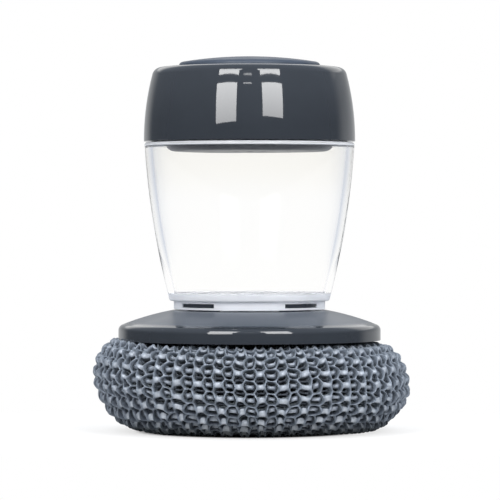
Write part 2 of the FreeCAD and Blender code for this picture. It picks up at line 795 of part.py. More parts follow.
def press_button():
    """The domed button with its skirt, stop flange and the boss that squeezes the bellows."""
    dome_radius = (button_radius**2 + BUTTON_DOME**2) / (2 * BUTTON_DOME)
    centre = button_edge + BUTTON_DOME - dome_radius
    seat_bore = button_bore - SPRING_SEAT_WIDTH
    seat_middle = (seat_bore + BUTTON_BOSS_RADIUS) / 2

    def on_dome(radius, inset=0.0):
        return radius, centre + math.sqrt((dome_radius - inset) ** 2 - radius**2)

    body = lathe(
        on_dome(0),
        (arc, on_dome(button_radius / 2), (button_radius, button_edge)),
        (button_radius, button_flange_top),
        (button_flange_radius, button_flange_top),
        (button_flange_radius, button_low),
        (button_bore, button_low),
        (button_bore, spring_seat),
        (seat_bore, spring_seat),
        on_dome(seat_bore, BUTTON_CROWN),
        (arc, on_dome(seat_middle, BUTTON_CROWN), on_dome(BUTTON_BOSS_RADIUS, BUTTON_CROWN)),
        (BUTTON_BOSS_RADIUS, boss_low),
        (0, boss_low),
    )
    return round_edge(body, button_radius, button_edge, BUTTON_ROUNDING)


NODES = {
    "scouring_ball": scouring_ball,
    "ball_tie": ball_tie,
    "ball_retainer": ball_retainer,
    "retainer_screws": retainer_screws,
    "ball_carrier": ball_carrier,
    "hub_seal": hub_seal,
    "socket_ring": socket_ring,
    "socket_screws": socket_screws,
    "base_cover": base_cover,
    "foot_seal": foot_seal,
    "valve_retainer": valve_retainer,
    "outlet_valve": outlet_valve,
    "reservoir": reservoir,
    "neck_gasket": neck_gasket,
    "pump_cup": pump_cup,
    "bellows_clamp": bellows_clamp,
    "pump_bellows": pump_bellows,
    "button_spring": button_spring,
    "cap_shell": cap_shell,
    "press_button": press_button,
}

os.makedirs("parts", exist_ok=True)
for name, make in NODES.items():
    make().exportStep("parts/" + name + ".step")
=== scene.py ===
import json
import math
from collections import namedtuple

import bpy
import numpy as np
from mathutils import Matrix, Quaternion, Vector


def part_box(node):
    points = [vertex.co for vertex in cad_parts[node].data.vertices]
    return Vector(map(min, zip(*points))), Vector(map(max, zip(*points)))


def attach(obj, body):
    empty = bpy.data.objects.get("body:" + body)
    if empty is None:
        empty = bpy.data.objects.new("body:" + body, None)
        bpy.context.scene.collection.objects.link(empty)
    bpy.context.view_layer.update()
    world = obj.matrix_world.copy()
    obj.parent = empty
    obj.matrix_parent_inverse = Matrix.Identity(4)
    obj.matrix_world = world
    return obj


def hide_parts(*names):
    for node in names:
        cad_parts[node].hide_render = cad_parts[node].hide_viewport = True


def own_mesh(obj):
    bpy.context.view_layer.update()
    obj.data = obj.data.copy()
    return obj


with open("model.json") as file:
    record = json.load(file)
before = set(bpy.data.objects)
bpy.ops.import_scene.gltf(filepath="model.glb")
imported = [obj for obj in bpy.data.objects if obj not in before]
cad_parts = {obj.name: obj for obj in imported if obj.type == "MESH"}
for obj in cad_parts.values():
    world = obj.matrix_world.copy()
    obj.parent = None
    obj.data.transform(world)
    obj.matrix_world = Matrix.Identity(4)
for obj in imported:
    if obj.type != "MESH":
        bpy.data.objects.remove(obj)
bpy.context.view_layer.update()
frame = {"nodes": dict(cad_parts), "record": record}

MM = 0.001
FULL_TURN = 2 * math.pi

# Camera: place and aim in metres, lens and film in millimetres
CAMERA_PLACE = Vector((0.00013, -0.914, 0.0567))
CAMERA_AIM = Vector((0.00013, 0.0, 0.0484))
CAMERA_LENS = 246.4
CAMERA_FILM = 36.0

# Floor: radius in metres and segments, distances from its middle between which it fades out and
# between which the shadow under the ball gives way to white, and the share of white
FLOOR_RADIUS = 0.5
FLOOR_SEGMENTS = 64
FLOOR_FADE = (0.045, 0.12)
CONTACT_FADE = (0.027, 0.031)
FLOOR_WHITE = 0.72

# Lamps: bearing from the camera's side, width, lowest and highest elevation in degrees, and the
# radiance at the lower and the upper edge; they stand round a centre, in metres, and roll by a
# share of their bearing
Lamp = namedtuple("Lamp", "bearing width low high low_radiance high_radiance")
LAMPS = (
    Lamp(-26.0, 22.0, 8.0, 25.6, 4.7, 7.6),
    Lamp(26.0, 22.0, 10.4, 25.6, 4.7, 7.6),
    Lamp(-26.0, 22.0, 28.7, 48.0, 8.0, 6.0),
    Lamp(26.0, 22.0, 28.7, 48.0, 8.0, 6.0),
    Lamp(-2.2, 8.8, 25.6, 26.1, 5.0, 5.0),
    Lamp(-2.2, 8.8, 29.0, 29.4, 4.0, 4.0),
)
LAMP_DISTANCE = 1.2
LAMP_CENTRE = Vector((0.0, 0.0, 0.08))
LAMP_ROLL = 0.146

# World: the direction that its light comes from; how far a ray has to point that way to meet the
# fill and, for gloss, the backdrop; how far a ray through glass has to point ahead to meet white;
# the sines of elevation between which the room changes; and the backdrop's colours by that sine
FILL_FROM = (0.2, 0.98, 0.0)
FILL_REACH = (-0.62, -0.14)
BACKDROP_REACH = (0.5, 0.75)
WHITE_AHEAD = (0.86, 0.995)
ROOM_FLOOR = (-0.25, -0.08)
ROOM_CEILING = (0.1, 0.5)
BACKDROP = (
    (0.0, (0.55, 0.56, 0.57)),
    (0.16, (0.42, 0.43, 0.44)),
    (0.25, (0.48, 0.5, 0.52)),
    (0.31, (1.2, 1.2, 1.2)),
    (0.58, (1.2, 1.2, 1.2)),
    (0.7, (0.5, 0.56, 0.64)),
    (1.0, (0.4, 0.45, 0.52)),
)

# Moulded plastic: its mottle, and the dull cone of the base between two heights in millimetres,
# which is rougher and whose colour is lifted as a painted reflection
MOTTLE = 0.06
DULL_BAND = (28.9, 32.4)
DULL_SOFT = 0.4
DULL_ROUGHNESS = 0.3
PAINTED_REFLECTION_LIFT = 2.7

# Steel: how dark its darkest lines are, as a share of its colour
STEEL_DARK = 0.85

# Clear tank, heights in millimetres: refractive index at its foot, wall and neck, where one gives
# way to the next and a warm painted shade sets in under the cup, and its milky bands with the
# softness of their edges
FOOT_INDEX = 1.015
WALL_INDEX = 1.13
NECK_INDEX = 1.3
FOOT_TO_WALL = (40.0, 54.0)
WALL_TO_NECK = (58.0, 74.0)
NECK_PAINTED_SHADE = (60.0, 72.0)
MILKY_BANDS = ((0.0, 36.9, 0.4), (76.2, 76.6, 0.12), (76.7, 77.2, 0.12))

# Ribbon of the knit: colours from its flat lands, painted pale as a highlight, to its dark inside,
# painted shade, and the height in millimetres up to which painted contact shade darkens it
RIBBON_PAINTED_SHADES = (
    (0.0, (0.55, 0.59, 0.65)),
    (0.35, (0.21, 0.244, 0.296)),
    (0.7, (0.07, 0.085, 0.114)),
    (1.0, (0.036, 0.042, 0.055)),
)
CONTACT_SHADE_TO = 4.5

# Ball's outline in millimetres: height of its widest part, radii of its shoulder, its widest
# part, the flat that it stands on, the hole under it and its neck, and points to a stretch
BALL_EQUATOR = 12.0
BALL_SHOULDER = 33.0
KNIT_WIDEST = 42.5
KNIT_FLAT = 27.0
KNIT_HOLE = 5.0
KNIT_NECK = 20.0
ARC_POINTS = 200
TOP_POINTS = 120

# Ball's stance: its left side is raised by degrees, it leans by a slope, it is pushed aside and its
# lower right corner bulges by millimetres; each pair is a range over which that sets in or ends
KNIT_TILT = 3.2
KNIT_LEAN = 0.05
KNIT_SHIFT = 0.5
KNIT_CORNER = 1.8
OFF_FLOOR = (0.5, 9.0)
UNDER_BASE = (15.0, 22.0)
CLEAR_OF_BASE = (34.5, 37.0)
LEAN_ENDS = (17.0, 23.0)
CORNER_REACH = (8.0, 28.0)
CORNER_HEIGHT = (0.0, 4.5)

# Grid of the knit: columns round the ball, row height in millimetres, power by which rows shrink
# with the radius, and the pieces that each layer is cut into
KNIT_COLUMNS = 92
KNIT_ROW = 3.75
KNIT_SHRINK = 0.3
KNIT_PARTS = 4

# Unevenness of the knit: seed, number of waves and usual peak of their sum, shares of a column and
# a row by coarse and by fine waves, and inset, wave and bump of its face in millimetres
KNIT_SEED = 7
WAVE_COUNT = 6
RIPPLE_PEAK = 1.4
COARSE_COLUMN = 0.3
FINE_COLUMN = 0.19
COARSE_ROW = 0.2
FINE_ROW = 0.16
FACE_INSET = 0.3
FACE_WAVE = 0.25
FACE_BUMP = 0.75

# Cell of the knit: half its level edge in columns, half its height in rows, the points along an
# edge, the digits to which cells share points, the depth of its lands in millimetres, and the power
# that keeps them flat to their ends
CELL_EDGE = 0.38
HALF_ROW = 0.5
EDGE_STEPS = (0.0, 0.15, 0.5, 0.85)
SHARED_DIGITS = 4
LAND_DEPTH = 0.6
LAND_POWER = 6

# Ribbon round a cell, from its border by its rim down its wall: places as shares, drops in
# millimetres, and shades from 0, pale, to 1, dark, which are painted highlight and painted shade
# deepening down the wall; the wall's sides are painted lighter than its top and bottom as painted light
NEAR_SHARE = 0.5
NEAR_DROP = 0.04
RIM_DROP = 0.2
RIM_SHADE = 0.42
LAND_LIGHTER = 0.35
WALL_TOP_INSET = 0.985
WALL_TOP_DEPTH = 0.2
WALL_TOP_SHADE = 0.74
WALL_TOP_SIDE = 0.36
WALL_FOOT_INSET = 0.96
WALL_FOOT_SHADE = 0.97
WALL_FOOT_SIDE = 0.25

# Lower rows: rows under the widest part over which lands come to tilt up, the tilt in millimetres,
# its share half-way to the rim, and how much darker rims and walls get, as painted shade
LOW_ROWS = 3.0
LAND_TILT = 0.45
NEAR_TILT = 0.6
LOW_DIM = 0.19

# Layers of the knit: which columns have ring cells, depth and wall in millimetres, painted shades
# (the inner layer is painted darker as shade under the outer one, and lands are painted paler in
# low rows as a reflection of the floor), and half width, half height and roundness of the openings
# of ring cells and of land cells
Layer = namedtuple("Layer", "parity depth wall crest_shade middle_land low_land ring_cell land_cell")
OUTER_LAYER = Layer(
    parity=0,
    depth=0.0,
    wall=2.2,
    crest_shade=0.35,
    middle_land=0.17,
    low_land=0.0,
    ring_cell=(0.575, 0.475, 0.85),
    land_cell=(0.565, 0.3, 0.3),
)
INNER_LAYER = Layer(
    parity=1,
    depth=1.2,
    wall=1.9,
    crest_shade=0.92,
    middle_land=0.23,
    low_land=0.18,
    ring_cell=(0.56, 0.46, 0.6),
    land_cell=(0.56, 0.33, 0.4),
)

# Core of the ball: its grid, its depth in millimetres over the flat, how much deeper it lies
# elsewhere, and the rows between
CORE_SEGMENTS = 96
CORE_ROWS = 60
CORE_DEPTH = 0.9
CORE_DEEPER = 3.3
CORE_EASE = 2.5


def feed(tree, socket, value):
    """Sets a shader input to a value, or joins it to another node's output."""
    if isinstance(value, bpy.types.NodeSocket):
        tree.links.new(value, socket)
    else:
        socket.default_value = value


def add(tree, kind, inputs=None, **settings):
    """Adds a shader node with its inputs and settings."""
    node = tree.nodes.new(kind)
    for key, value in settings.items():
        setattr(node, key, value)
    for key, value in (inputs or {}).items():
        feed(tree, node.inputs[key], value)
    return node


def maths(tree, operation, *values):
    """The result of an arithmetic operation on values or other nodes' outputs."""
    return add(tree, "ShaderNodeMath", dict(enumerate(values)), operation=operation).outputs[0]


def noise(tree, scale, detail=3.0, stretch=(1.0, 1.0, 1.0)):
    """A noise value in object space, with cells about one over scale metres."""
    coord = add(tree, "ShaderNodeTexCoord").outputs["Object"]
    placed = add(tree, "ShaderNodeMapping", {"Vector": coord, "Scale": stretch}).outputs["Vector"]
    grain = add(tree, "ShaderNodeTexNoise", {"Vector": placed, "Scale": scale, "Detail": detail})
    return grain.outputs["Fac"]


def spread(tree, value, low, high, start=0.3, end=0.7):
    """Maps a value between start and end, which suit a noise, to a range."""
    inputs = {"Value": value, "From Min": start, "From Max": end, "To Min": low, "To Max": high}
    return add(tree, "ShaderNodeMapRange", inputs).outputs["Result"]


def eased(tree, value, start, end):
    """0 before start, 1 after end, smooth between."""
    inputs = {"Value": value, "From Min": start, "From Max": end}
    return add(tree, "ShaderNodeMapRange", inputs, interpolation_type="SMOOTHSTEP").outputs["Result"]


# Colour inputs and colour output of a mix node
MIX_FIRST = 6
MIX_SECOND = 7
MIX_RESULT = 2


def between(tree, factor, first, second, blend="MIX"):
    """A colour between two colours, each of them three shares or another node's output."""
    node = add(tree, "ShaderNodeMix", {"Factor": factor}, data_type="RGBA", blend_type=blend)
    for place, colour in ((MIX_FIRST, first), (MIX_SECOND, second)):
        is_output = isinstance(colour, bpy.types.NodeSocket)
        feed(tree, node.inputs[place], colour if is_output else (*colour, 1.0))
    return node.outputs[MIX_RESULT]


def ramp(tree, value, stops):
    """A colour that passes through stops, the first of them at 0 and the last at 1."""
    node = add(tree, "ShaderNodeValToRGB", {0: value})
    elements = node.color_ramp.elements
    elements[0].color = (*stops[0][1], 1.0)
    elements[1].color = (*stops[-1][1], 1.0)
    for position, colour in stops[1:-1]:
        elements.new(position).color = (*colour, 1.0)
    return node.outputs["Color"]


def bumped(tree, height, strength, distance):
    """A normal that follows a height value."""
    node = add(tree, "ShaderNodeBump", {"Height": height, "Strength": strength, "Distance": distance})
    return node.outputs["Normal"]


def surface(name, fill):
    """A material whose shader inputs are what fill(tree) returns."""
    material = bpy.data.materials.new(name)
    material.use_nodes = True
    tree = material.node_tree
    shader = tree.nodes["Principled BSDF"]
    for key, value in fill(tree).items():
        feed(tree, shader.inputs[key], value)
    return material


def height_share(tree, low, high):
    """0 below a height in millimetres, 1 above another, smooth between."""
    coord = add(tree, "ShaderNodeTexCoord").outputs["Object"]
    height = add(tree, "ShaderNodeSeparateXYZ", {0: coord}).outputs["Z"]
    return eased(tree, height, low * MM, high * MM)


def height_band(tree, low, high, soft):
    """1 between two heights in millimetres and 0 outside, with soft edges."""
    above_low = height_share(tree, low - soft, low + soft)
    above_high = height_share(tree, high - soft, high + soft)
    return maths(tree, "MULTIPLY", above_low, maths(tree, "SUBTRACT", 1.0, above_high))


def moulded(name, colour, smooth, rough, coat, peel, shine=0.5):
    """Moulded plastic with a faint mottle, uneven gloss, a fine peel and a painted reflection on its
    cone.
    """

    def fill(tree):
        darker = [(1.0 - MOTTLE) * c for c in colour]
        lighter = [(1.0 + MOTTLE) * c for c in colour]
        # The cone's colour, lifted as a painted reflection of the bright room
        painted_reflection = [PAINTED_REFLECTION_LIFT * c for c in colour]
        dull = height_band(tree, *DULL_BAND, DULL_SOFT)
        gloss = spread(tree, noise(tree, scale=260.0), smooth, rough)
        plain = between(tree, spread(tree, noise(tree, scale=90.0), 0.0, 1.0), darker, lighter)
        return {
            "Base Color": between(tree, dull, plain, painted_reflection),
            "Roughness": maths(tree, "MULTIPLY_ADD", dull, DULL_ROUGHNESS, gloss),
            "IOR": 1.5,
            "Specular IOR Level": shine,
            "Coat Weight": spread(tree, dull, coat, 0.0, 0.0, 1.0),
            "Coat Roughness": 0.03,
            "Normal": bumped(tree, noise(tree, scale=1500.0, detail=2.0), peel, distance=0.00002),
        }

    return surface(name, fill)


def clear_plastic():
    """Clear moulded plastic with faint flow waves; its thick floor, foot and shoulder are milky."""

    def fill(tree):
        flow = noise(tree, scale=120.0, detail=2.0, stretch=(1.0, 1.0, 0.35))
        milky = height_band(tree, *MILKY_BANDS[0])
        for band in MILKY_BANDS[1:]:
            milky = maths(tree, "ADD", milky, height_band(tree, *band))
        lower_index = spread(tree, height_share(tree, *FOOT_TO_WALL), FOOT_INDEX, WALL_INDEX, 0.0, 1.0)
        lower = between(tree, flow, (0.994, 0.994, 0.988), (1.0, 1.0, 0.996))
        # Warm painted shade under the cup, slightly darker towards the neck
        clear = between(tree, height_share(tree, *NECK_PAINTED_SHADE), lower, (0.992, 0.986, 0.966))
        return {
            "Base Color": between(tree, milky, clear, (0.8, 0.82, 0.86)),
            "Roughness": spread(tree, milky, 0.01, 0.3, 0.0, 1.0),
            "IOR": spread(tree, height_share(tree, *WALL_TO_NECK), lower_index, NECK_INDEX, 0.0, 1.0),
            "Transmission Weight": spread(tree, milky, 1.0, 0.3, 0.0, 1.0),
            "Normal": bumped(tree, flow, strength=0.006, distance=0.0001),
        }

    return surface("clear_plastic", fill)


def silicone():
    """Milky soft rubber."""

    def fill(tree):
        return {
            "Base Color": between(tree, noise(tree, scale=200.0), (0.58, 0.6, 0.63), (0.7, 0.72, 0.74)),
            "Roughness": spread(tree, noise(tree, scale=500.0), 0.4, 0.6),
            "IOR": 1.41,
            "Transmission Weight": 0.3,
            "Normal": bumped(tree, noise(tree, scale=1800.0), strength=0.1, distance=0.00003),
        }

    return surface("silicone", fill)


def steel(name, colour):
    """Drawn or plated steel with fine lines."""

    def fill(tree):
        lines = noise(tree, scale=700.0, detail=4.0, stretch=(1.0, 1.0, 8.0))
        darker = [STEEL_DARK * c for c in colour]
        return {
            "Base Color": between(tree, lines, darker, colour),
            "Metallic": 1.0,
            "Roughness": spread(tree, lines, 0.22, 0.42),
            "Normal": bumped(tree, lines, strength=0.15, distance=0.00002),
        }

    return surface(name, fill)


def knit_ribbon():
    """Flat ribbon with a metallic sheen, its colour painted light: highlit lands, grey rims, shade
    inside.
    """

    def fill(tree):
        # This attribute paints light on the ribbon: 0 is a painted highlight on the lands, 1 painted
        # shade deep in the knit
        shade = add(tree, "ShaderNodeAttribute", attribute_name="shade").outputs["Fac"]
        painted_light_colour = ramp(tree, shade, RIBBON_PAINTED_SHADES)
        grain = spread(tree, noise(tree, scale=900.0), 0.0, 1.0)
        worn = between(tree, grain, (0.75, 0.75, 0.75), (1.1, 1.1, 1.1))
        # Painted contact shade: the ribbon darkens towards the floor
        painted_contact_shade = between(tree, height_share(tree, 0.0, CONTACT_SHADE_TO), (0.3, 0.31, 0.29), (1.0, 1.0, 1.0))
        colour = between(tree, 1.0, painted_light_colour, worn, "MULTIPLY")
        fibres = noise(tree, scale=2600.0, detail=2.0)
        return {
            "Base Color": between(tree, 1.0, colour, painted_contact_shade, "MULTIPLY"),
            "Metallic": 0.25,
            "Sheen Weight": 0.3,
            "Sheen Roughness": 0.5,
            "Sheen Tint": (0.8, 0.92, 1.0, 1.0),
            "Roughness": spread(tree, noise(tree, scale=1600.0), 0.36, 0.52),
            "Normal": bumped(tree, fibres, strength=0.12, distance=0.00003),
        }

    return surface("knit_ribbon", fill)


def knit_shade():
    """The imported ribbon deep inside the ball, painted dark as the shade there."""

    def fill(tree):
        strands = noise(tree, scale=700.0, detail=4.0)
        share = spread(tree, strands, 0.0, 1.0)
        return {
            "Base Color": between(tree, share, (0.04, 0.045, 0.056), (0.15, 0.16, 0.19)),
            "Metallic": 0.3,
            "Roughness": spread(tree, strands, 0.4, 0.7),
            "Normal": bumped(tree, strands, strength=0.8, distance=0.0006),
        }

    return surface("knit_shade", fill)


def braided_cord():
    """Twisted grey cord."""

    def fill(tree):
        coord = add(tree, "ShaderNodeTexCoord").outputs["Object"]
        inputs = {"Vector": coord, "Scale": 420.0, "Distortion": 3.0, "Detail": 2.0}
        wave = add(tree, "ShaderNodeTexWave", inputs, bands_direction="DIAGONAL").outputs["Fac"]
        return {
            "Base Color": between(tree, wave, (0.3, 0.3, 0.31), (0.55, 0.55, 0.56)),
            "Roughness": spread(tree, noise(tree, scale=900.0), 0.6, 0.85),
            "Normal": bumped(tree, wave, strength=0.6, distance=0.0002),
        }

    return surface("tie_cord", fill)


SLOT_MATERIALS = {
    "slate_plastic": moulded(
        "slate_plastic", (0.026, 0.031, 0.039), smooth=0.02, rough=0.045, coat=0.5, peel=0.05
    ),
    "button_plastic": moulded(
        "button_plastic", (0.052, 0.068, 0.097), smooth=0.4, rough=0.5, coat=0.0, peel=0.15, shine=0.35
    ),
    "cup_plastic": moulded(
        "cup_plastic", (0.085, 0.09, 0.1), smooth=0.3, rough=0.4, coat=0.0, peel=0.15, shine=0.15
    ),
    "inner_plastic": moulded(
        "inner_plastic", (0.05, 0.056, 0.068), smooth=0.3, rough=0.45, coat=0.0, peel=0.3
    ),
    "clear_plastic": clear_plastic(),
    "silicone": silicone(),
    "spring_steel": steel("spring_steel", (0.55, 0.55, 0.56)),
    "screw_steel": steel("screw_steel", (0.5, 0.5, 0.52)),
    "scouring_knit": knit_ribbon(),
    "tie_cord": braided_cord(),
}

for subpart in frame["record"]["subparts"]:
    node = frame["nodes"][subpart["node"]]
    node.data.materials.clear()
    node.data.materials.append(SLOT_MATERIALS[subpart["material_slot"]])


def mesh_piece(name, points, faces, material, body):
    """A smooth piece from points in metres that rides on a body."""
    mesh = bpy.data.meshes.new(name)
    mesh.from_pydata(points, [], faces)
    mesh.polygons.foreach_set("use_smooth", [True] * len(mesh.polygons))
    mesh.materials.append(material)
    mesh.update()
    piece = bpy.data.objects.new(name, mesh)
    bpy.context.scene.collection.objects.link(piece)
    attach(piece, body)
    return piece


def ring_faces(rings, around, closed=False):
    """Quads between rings of points; if closed, the last ring joins the first."""
    faces = []
    for i in range(rings if closed else rings - 1):
        after = (i + 1) % rings
        for k in range(around):
            step = (k + 1) % around
            faces.append((i * around + k, after * around + k, after * around + step, i * around + step))
    return faces


def smoothstep(value, start, end):
    """0 before start, 1 after end, smooth between."""
    t = np.clip((value - start) / (end - start), 0.0, 1.0)
    return t * t * (3 - 2 * t)


def ball_meridian():
    """Points of the ball's outline in millimetres, from under it, round its side and onto its top."""
    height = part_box("scouring_ball")[1].z / MM
    turn = np.linspace(0.0, math.pi / 2, ARC_POINTS)
    flat = [np.linspace(KNIT_HOLE, KNIT_FLAT, ARC_POINTS), np.zeros(ARC_POINTS)]
    lower = [
        KNIT_FLAT + (KNIT_WIDEST - KNIT_FLAT) * np.sin(turn),
        BALL_EQUATOR - BALL_EQUATOR * np.cos(turn),
    ]
    upper = [
        BALL_SHOULDER + (KNIT_WIDEST - BALL_SHOULDER) * np.cos(turn),
        BALL_EQUATOR + (height - BALL_EQUATOR) * np.sin(turn),
    ]
    top = [np.linspace(BALL_SHOULDER, KNIT_NECK, TOP_POINTS), np.full(TOP_POINTS, height)]
    later = [np.stack(run, 1)[1:] for run in (lower, upper, top)]
    return np.concatenate([np.stack(flat, 1), *later])


# Along the outline: its direction, the size of cells, and rows counted from the widest part
MERIDIAN = ball_meridian()
STEPS = np.diff(MERIDIAN, axis=0)
LENGTHS = np.hypot(STEPS[:, 0], STEPS[:, 1])
ALONG = np.concatenate([[0.0], np.cumsum(LENGTHS)])
TANGENT = np.gradient(MERIDIAN, ALONG, axis=0)
TANGENT /= np.linalg.norm(TANGENT, axis=1, keepdims=True)
CELL_SIZE = (MERIDIAN[:, 0] / KNIT_WIDEST) ** KNIT_SHRINK
ROWS = np.concatenate([[0.0], np.cumsum(LENGTHS / (KNIT_ROW * (CELL_SIZE[1:] + CELL_SIZE[:-1]) / 2))])
ROWS -= ROWS[np.argmax(MERIDIAN[:, 0])]

rng = np.random.default_rng(KNIT_SEED)


def draw_waves(turns, climbs):
    """Random waves round the ball: whole turns, climb to a row, and two phases."""
    waves = []
    for _ in range(WAVE_COUNT):
        turn = rng.integers(*turns)
        climb = rng.uniform(*climbs)
        waves.append((turn, climb, rng.uniform(0, FULL_TURN), rng.uniform(0, FULL_TURN)))
    return waves


COARSE_WAVES = draw_waves(turns=(2, 9), climbs=(0.03, 0.12))
FINE_WAVES = draw_waves(turns=(25, 45), climbs=(0.2, 0.45))


def ripple(waves, column, row, phase):
    """A smooth uneven value between about -1 and 1 that closes round the ball."""
    total = np.zeros(np.shape(column))
    for turns, climb, first, second in waves:
        shift = first if phase == 0 else second + phase
        total += np.sin(FULL_TURN * (turns * column / KNIT_COLUMNS + climb * row) + shift)
    return total / math.sqrt(len(waves)) / RIPPLE_PEAK


def stand(x, y, height, radius):
    """Places points of the even ball, in millimetres, as it stands: raised, leaning and pushed aside."""
    held = smoothstep(height, *UNDER_BASE) * (1.0 - smoothstep(radius, *CLEAR_OF_BASE))
    free = smoothstep(height, *OFF_FLOOR) * (1.0 - held)
    raised = height - math.tan(math.radians(KNIT_TILT)) * np.minimum(x, 0.0) * free
    lean = KNIT_LEAN * (height - BALL_EQUATOR) * (1.0 - smoothstep(height, *LEAN_ENDS))
    corner = KNIT_CORNER * smoothstep(x, *CORNER_REACH) * (1.0 - smoothstep(height, *CORNER_HEIGHT))
    return np.stack([x + KNIT_SHIFT * free - lean + corner, y, np.maximum(raised, 0.0)], -1)


def knit_place(column, row, depth):
    """Points of the knit in metres, at columns, rows and depths in millimetres under its face."""
    coarse = [ripple(COARSE_WAVES, column, row, phase) for phase in range(3)]
    fine = [ripple(FINE_WAVES, column, row, phase) for phase in range(2)]
    uneven_column = column + COARSE_COLUMN * coarse[0] + FINE_COLUMN * fine[0]
    uneven_row = np.clip(row + COARSE_ROW * coarse[1] + FINE_ROW * fine[1], ROWS[0], ROWS[-1])
    run, rise = [np.interp(uneven_row, ROWS, share) for share in TANGENT.T]
    radius, height = [np.interp(uneven_row, ROWS, place) for place in MERIDIAN.T]
    size = np.interp(uneven_row, ROWS, CELL_SIZE)
    bump = FACE_BUMP * np.cos(FULL_TURN * row) * (1.0 - np.cos(math.pi * column)) / 2
    inward = (depth + bump) * size + FACE_INSET + FACE_WAVE * coarse[2]
    radius = radius - inward * rise
    height = height + inward * run
    angle = FULL_TURN * uneven_column / KNIT_COLUMNS
    return stand(radius * np.cos(angle), radius * np.sin(angle), height, radius) * MM


def cell_outline():
    """Points round a cell in (column, row), from its right corner, and half its width."""
    outer = 1.0 - CELL_EDGE
    corners = np.array(
        [
            (outer, 0.0),
            (CELL_EDGE, HALF_ROW),
            (-CELL_EDGE, HALF_ROW),
            (-outer, 0.0),
            (-CELL_EDGE, -HALF_ROW),
            (CELL_EDGE, -HALF_ROW),
        ]
    )
    points = []
    for corner, after in zip(corners, np.roll(corners, -1, axis=0)):
        for k in EDGE_STEPS:
            points.append(corner + (after - corner) * k)
    return np.array(points), outer


def rounded(points, outer, half_width, half_height, roundness):
    """A cell's outline drawn in towards an ellipse."""
    angle = np.arctan2(points[:, 1] / HALF_ROW, points[:, 0] / outer)
    ellipse = np.stack([half_width * np.cos(angle), half_height * np.sin(angle)], 1)
    inset = points * np.array([half_width / outer, half_height / HALF_ROW])
    return inset + (ellipse - inset) * roundness


Ring = namedtuple("Ring", "place depth shade tilt")


def cell_rings(layer, is_ring, column, row):
    """Columns, rows, depths and painted shades of the rings of points of cells with these centres."""
    border, outer = cell_outline()
    rim = rounded(border, outer, *(layer.ring_cell if is_ring else layer.land_cell))
    near = rim + (border - rim) * NEAR_SHARE
    zero = np.zeros(len(border))
    land = zero
    if not is_ring:
        land = np.clip(1.0 - (border[:, 0] / CELL_EDGE) ** LAND_POWER, 0.0, 1.0)
        land = np.where(np.isclose(np.abs(border[:, 1]), HALF_ROW), land, 0.0)
    sag = LAND_DEPTH * land
    edge = sag + RIM_DROP
    # Painted light: the wall's sides are lighter than its top and bottom
    side = 1.0 - np.abs(border[:, 1]) / HALF_ROW
    tilt = -np.sign(border[:, 1]) * land
    low = np.clip(-row / LOW_ROWS, 0.0, 1.0)
    # Painted shade: rims and walls of lower rows are darker
    dim = LOW_DIM * low * (1.0 - land)
    # Painted reflection of the floor: lands of lower rows are paler
    pale = layer.middle_land + (layer.low_land - layer.middle_land) * low
    crest = layer.crest_shade + (pale - layer.crest_shade) * land
    wall_top = edge + WALL_TOP_DEPTH * (layer.wall - edge)
    wall_foot = zero + layer.wall
    # Painted shade deepens from the rim down the wall
    rings = [
        Ring(border, sag, crest, zero),
        Ring(near, sag + NEAR_DROP, crest, NEAR_TILT * tilt),
        Ring(rim, edge, RIM_SHADE + (pale - LAND_LIGHTER) * land, tilt),
        Ring(rim * WALL_TOP_INSET, wall_top, WALL_TOP_SHADE - WALL_TOP_SIDE * side, tilt),
        Ring(rim * WALL_FOOT_INSET, wall_foot, WALL_FOOT_SHADE - WALL_FOOT_SIDE * side, zero),
        Ring(border, wall_foot, zero + 1.0, zero),
    ]
    columns = [column + ring.place[:, 0] for ring in rings]
    rows = [row + ring.place[:, 1] for ring in rings]
    depths = [layer.depth + ring.depth + LAND_TILT * low * ring.tilt for ring in rings]
    shades = [np.minimum(ring.shade + dim, 1.0) for ring in rings]
    return [np.stack(values, 1) for values in (columns, rows, depths, shades)]


def honeycomb(layer, first_column, last_column):
    """Points, quads and painted shades of a layer of the knit between two columns."""
    kinds = []
    for is_ring in (0, 1):
        columns = [i for i in range(first_column, last_column) if (i + layer.parity) % 2 == is_ring]
        rows = np.arange(math.ceil(ROWS[0]), math.floor(ROWS[-1])) + HALF_ROW * is_ring
        column, row = np.meshgrid(np.array(columns), rows, indexing="ij")
        kinds.append(cell_rings(layer, is_ring, column.reshape(-1, 1), row.reshape(-1, 1)))
    column, row, depth, shade = [np.concatenate(values) for values in zip(*kinds)]
    index = np.arange(column.size).reshape(column.shape)
    turned = np.roll(index, -1, axis=2)
    quads = np.stack([index[:, :-1], turned[:, :-1], turned[:, 1:], index[:, 1:]], -1).reshape(-1, 4)
    # Cells share the points of their borders
    key = np.stack([np.round(values.reshape(-1), SHARED_DIGITS) for values in (column, row, depth)], 1)
    _, kept, place = np.unique(key, axis=0, return_index=True, return_inverse=True)
    column, row, depth, shade = [values.reshape(-1)[kept] for values in (column, row, depth, shade)]
    return knit_place(column, row, depth), place.reshape(-1)[quads], shade


def knit_piece(name, layer, part):
    """One part of a layer of the knit."""
    first = KNIT_COLUMNS * part // KNIT_PARTS
    last = KNIT_COLUMNS * (part + 1) // KNIT_PARTS
    points, quads, shade = honeycomb(layer, first, last)
    ribbon = SLOT_MATERIALS["scouring_knit"]
    piece = mesh_piece(name, points.tolist(), quads.tolist(), ribbon, "head")
    # Painted highlight and shade for each point, read by the ribbon's material
    attribute = piece.data.attributes.new("shade", "FLOAT", "POINT")
    attribute.data.foreach_set("value", shade.astype(np.float32))
    return piece


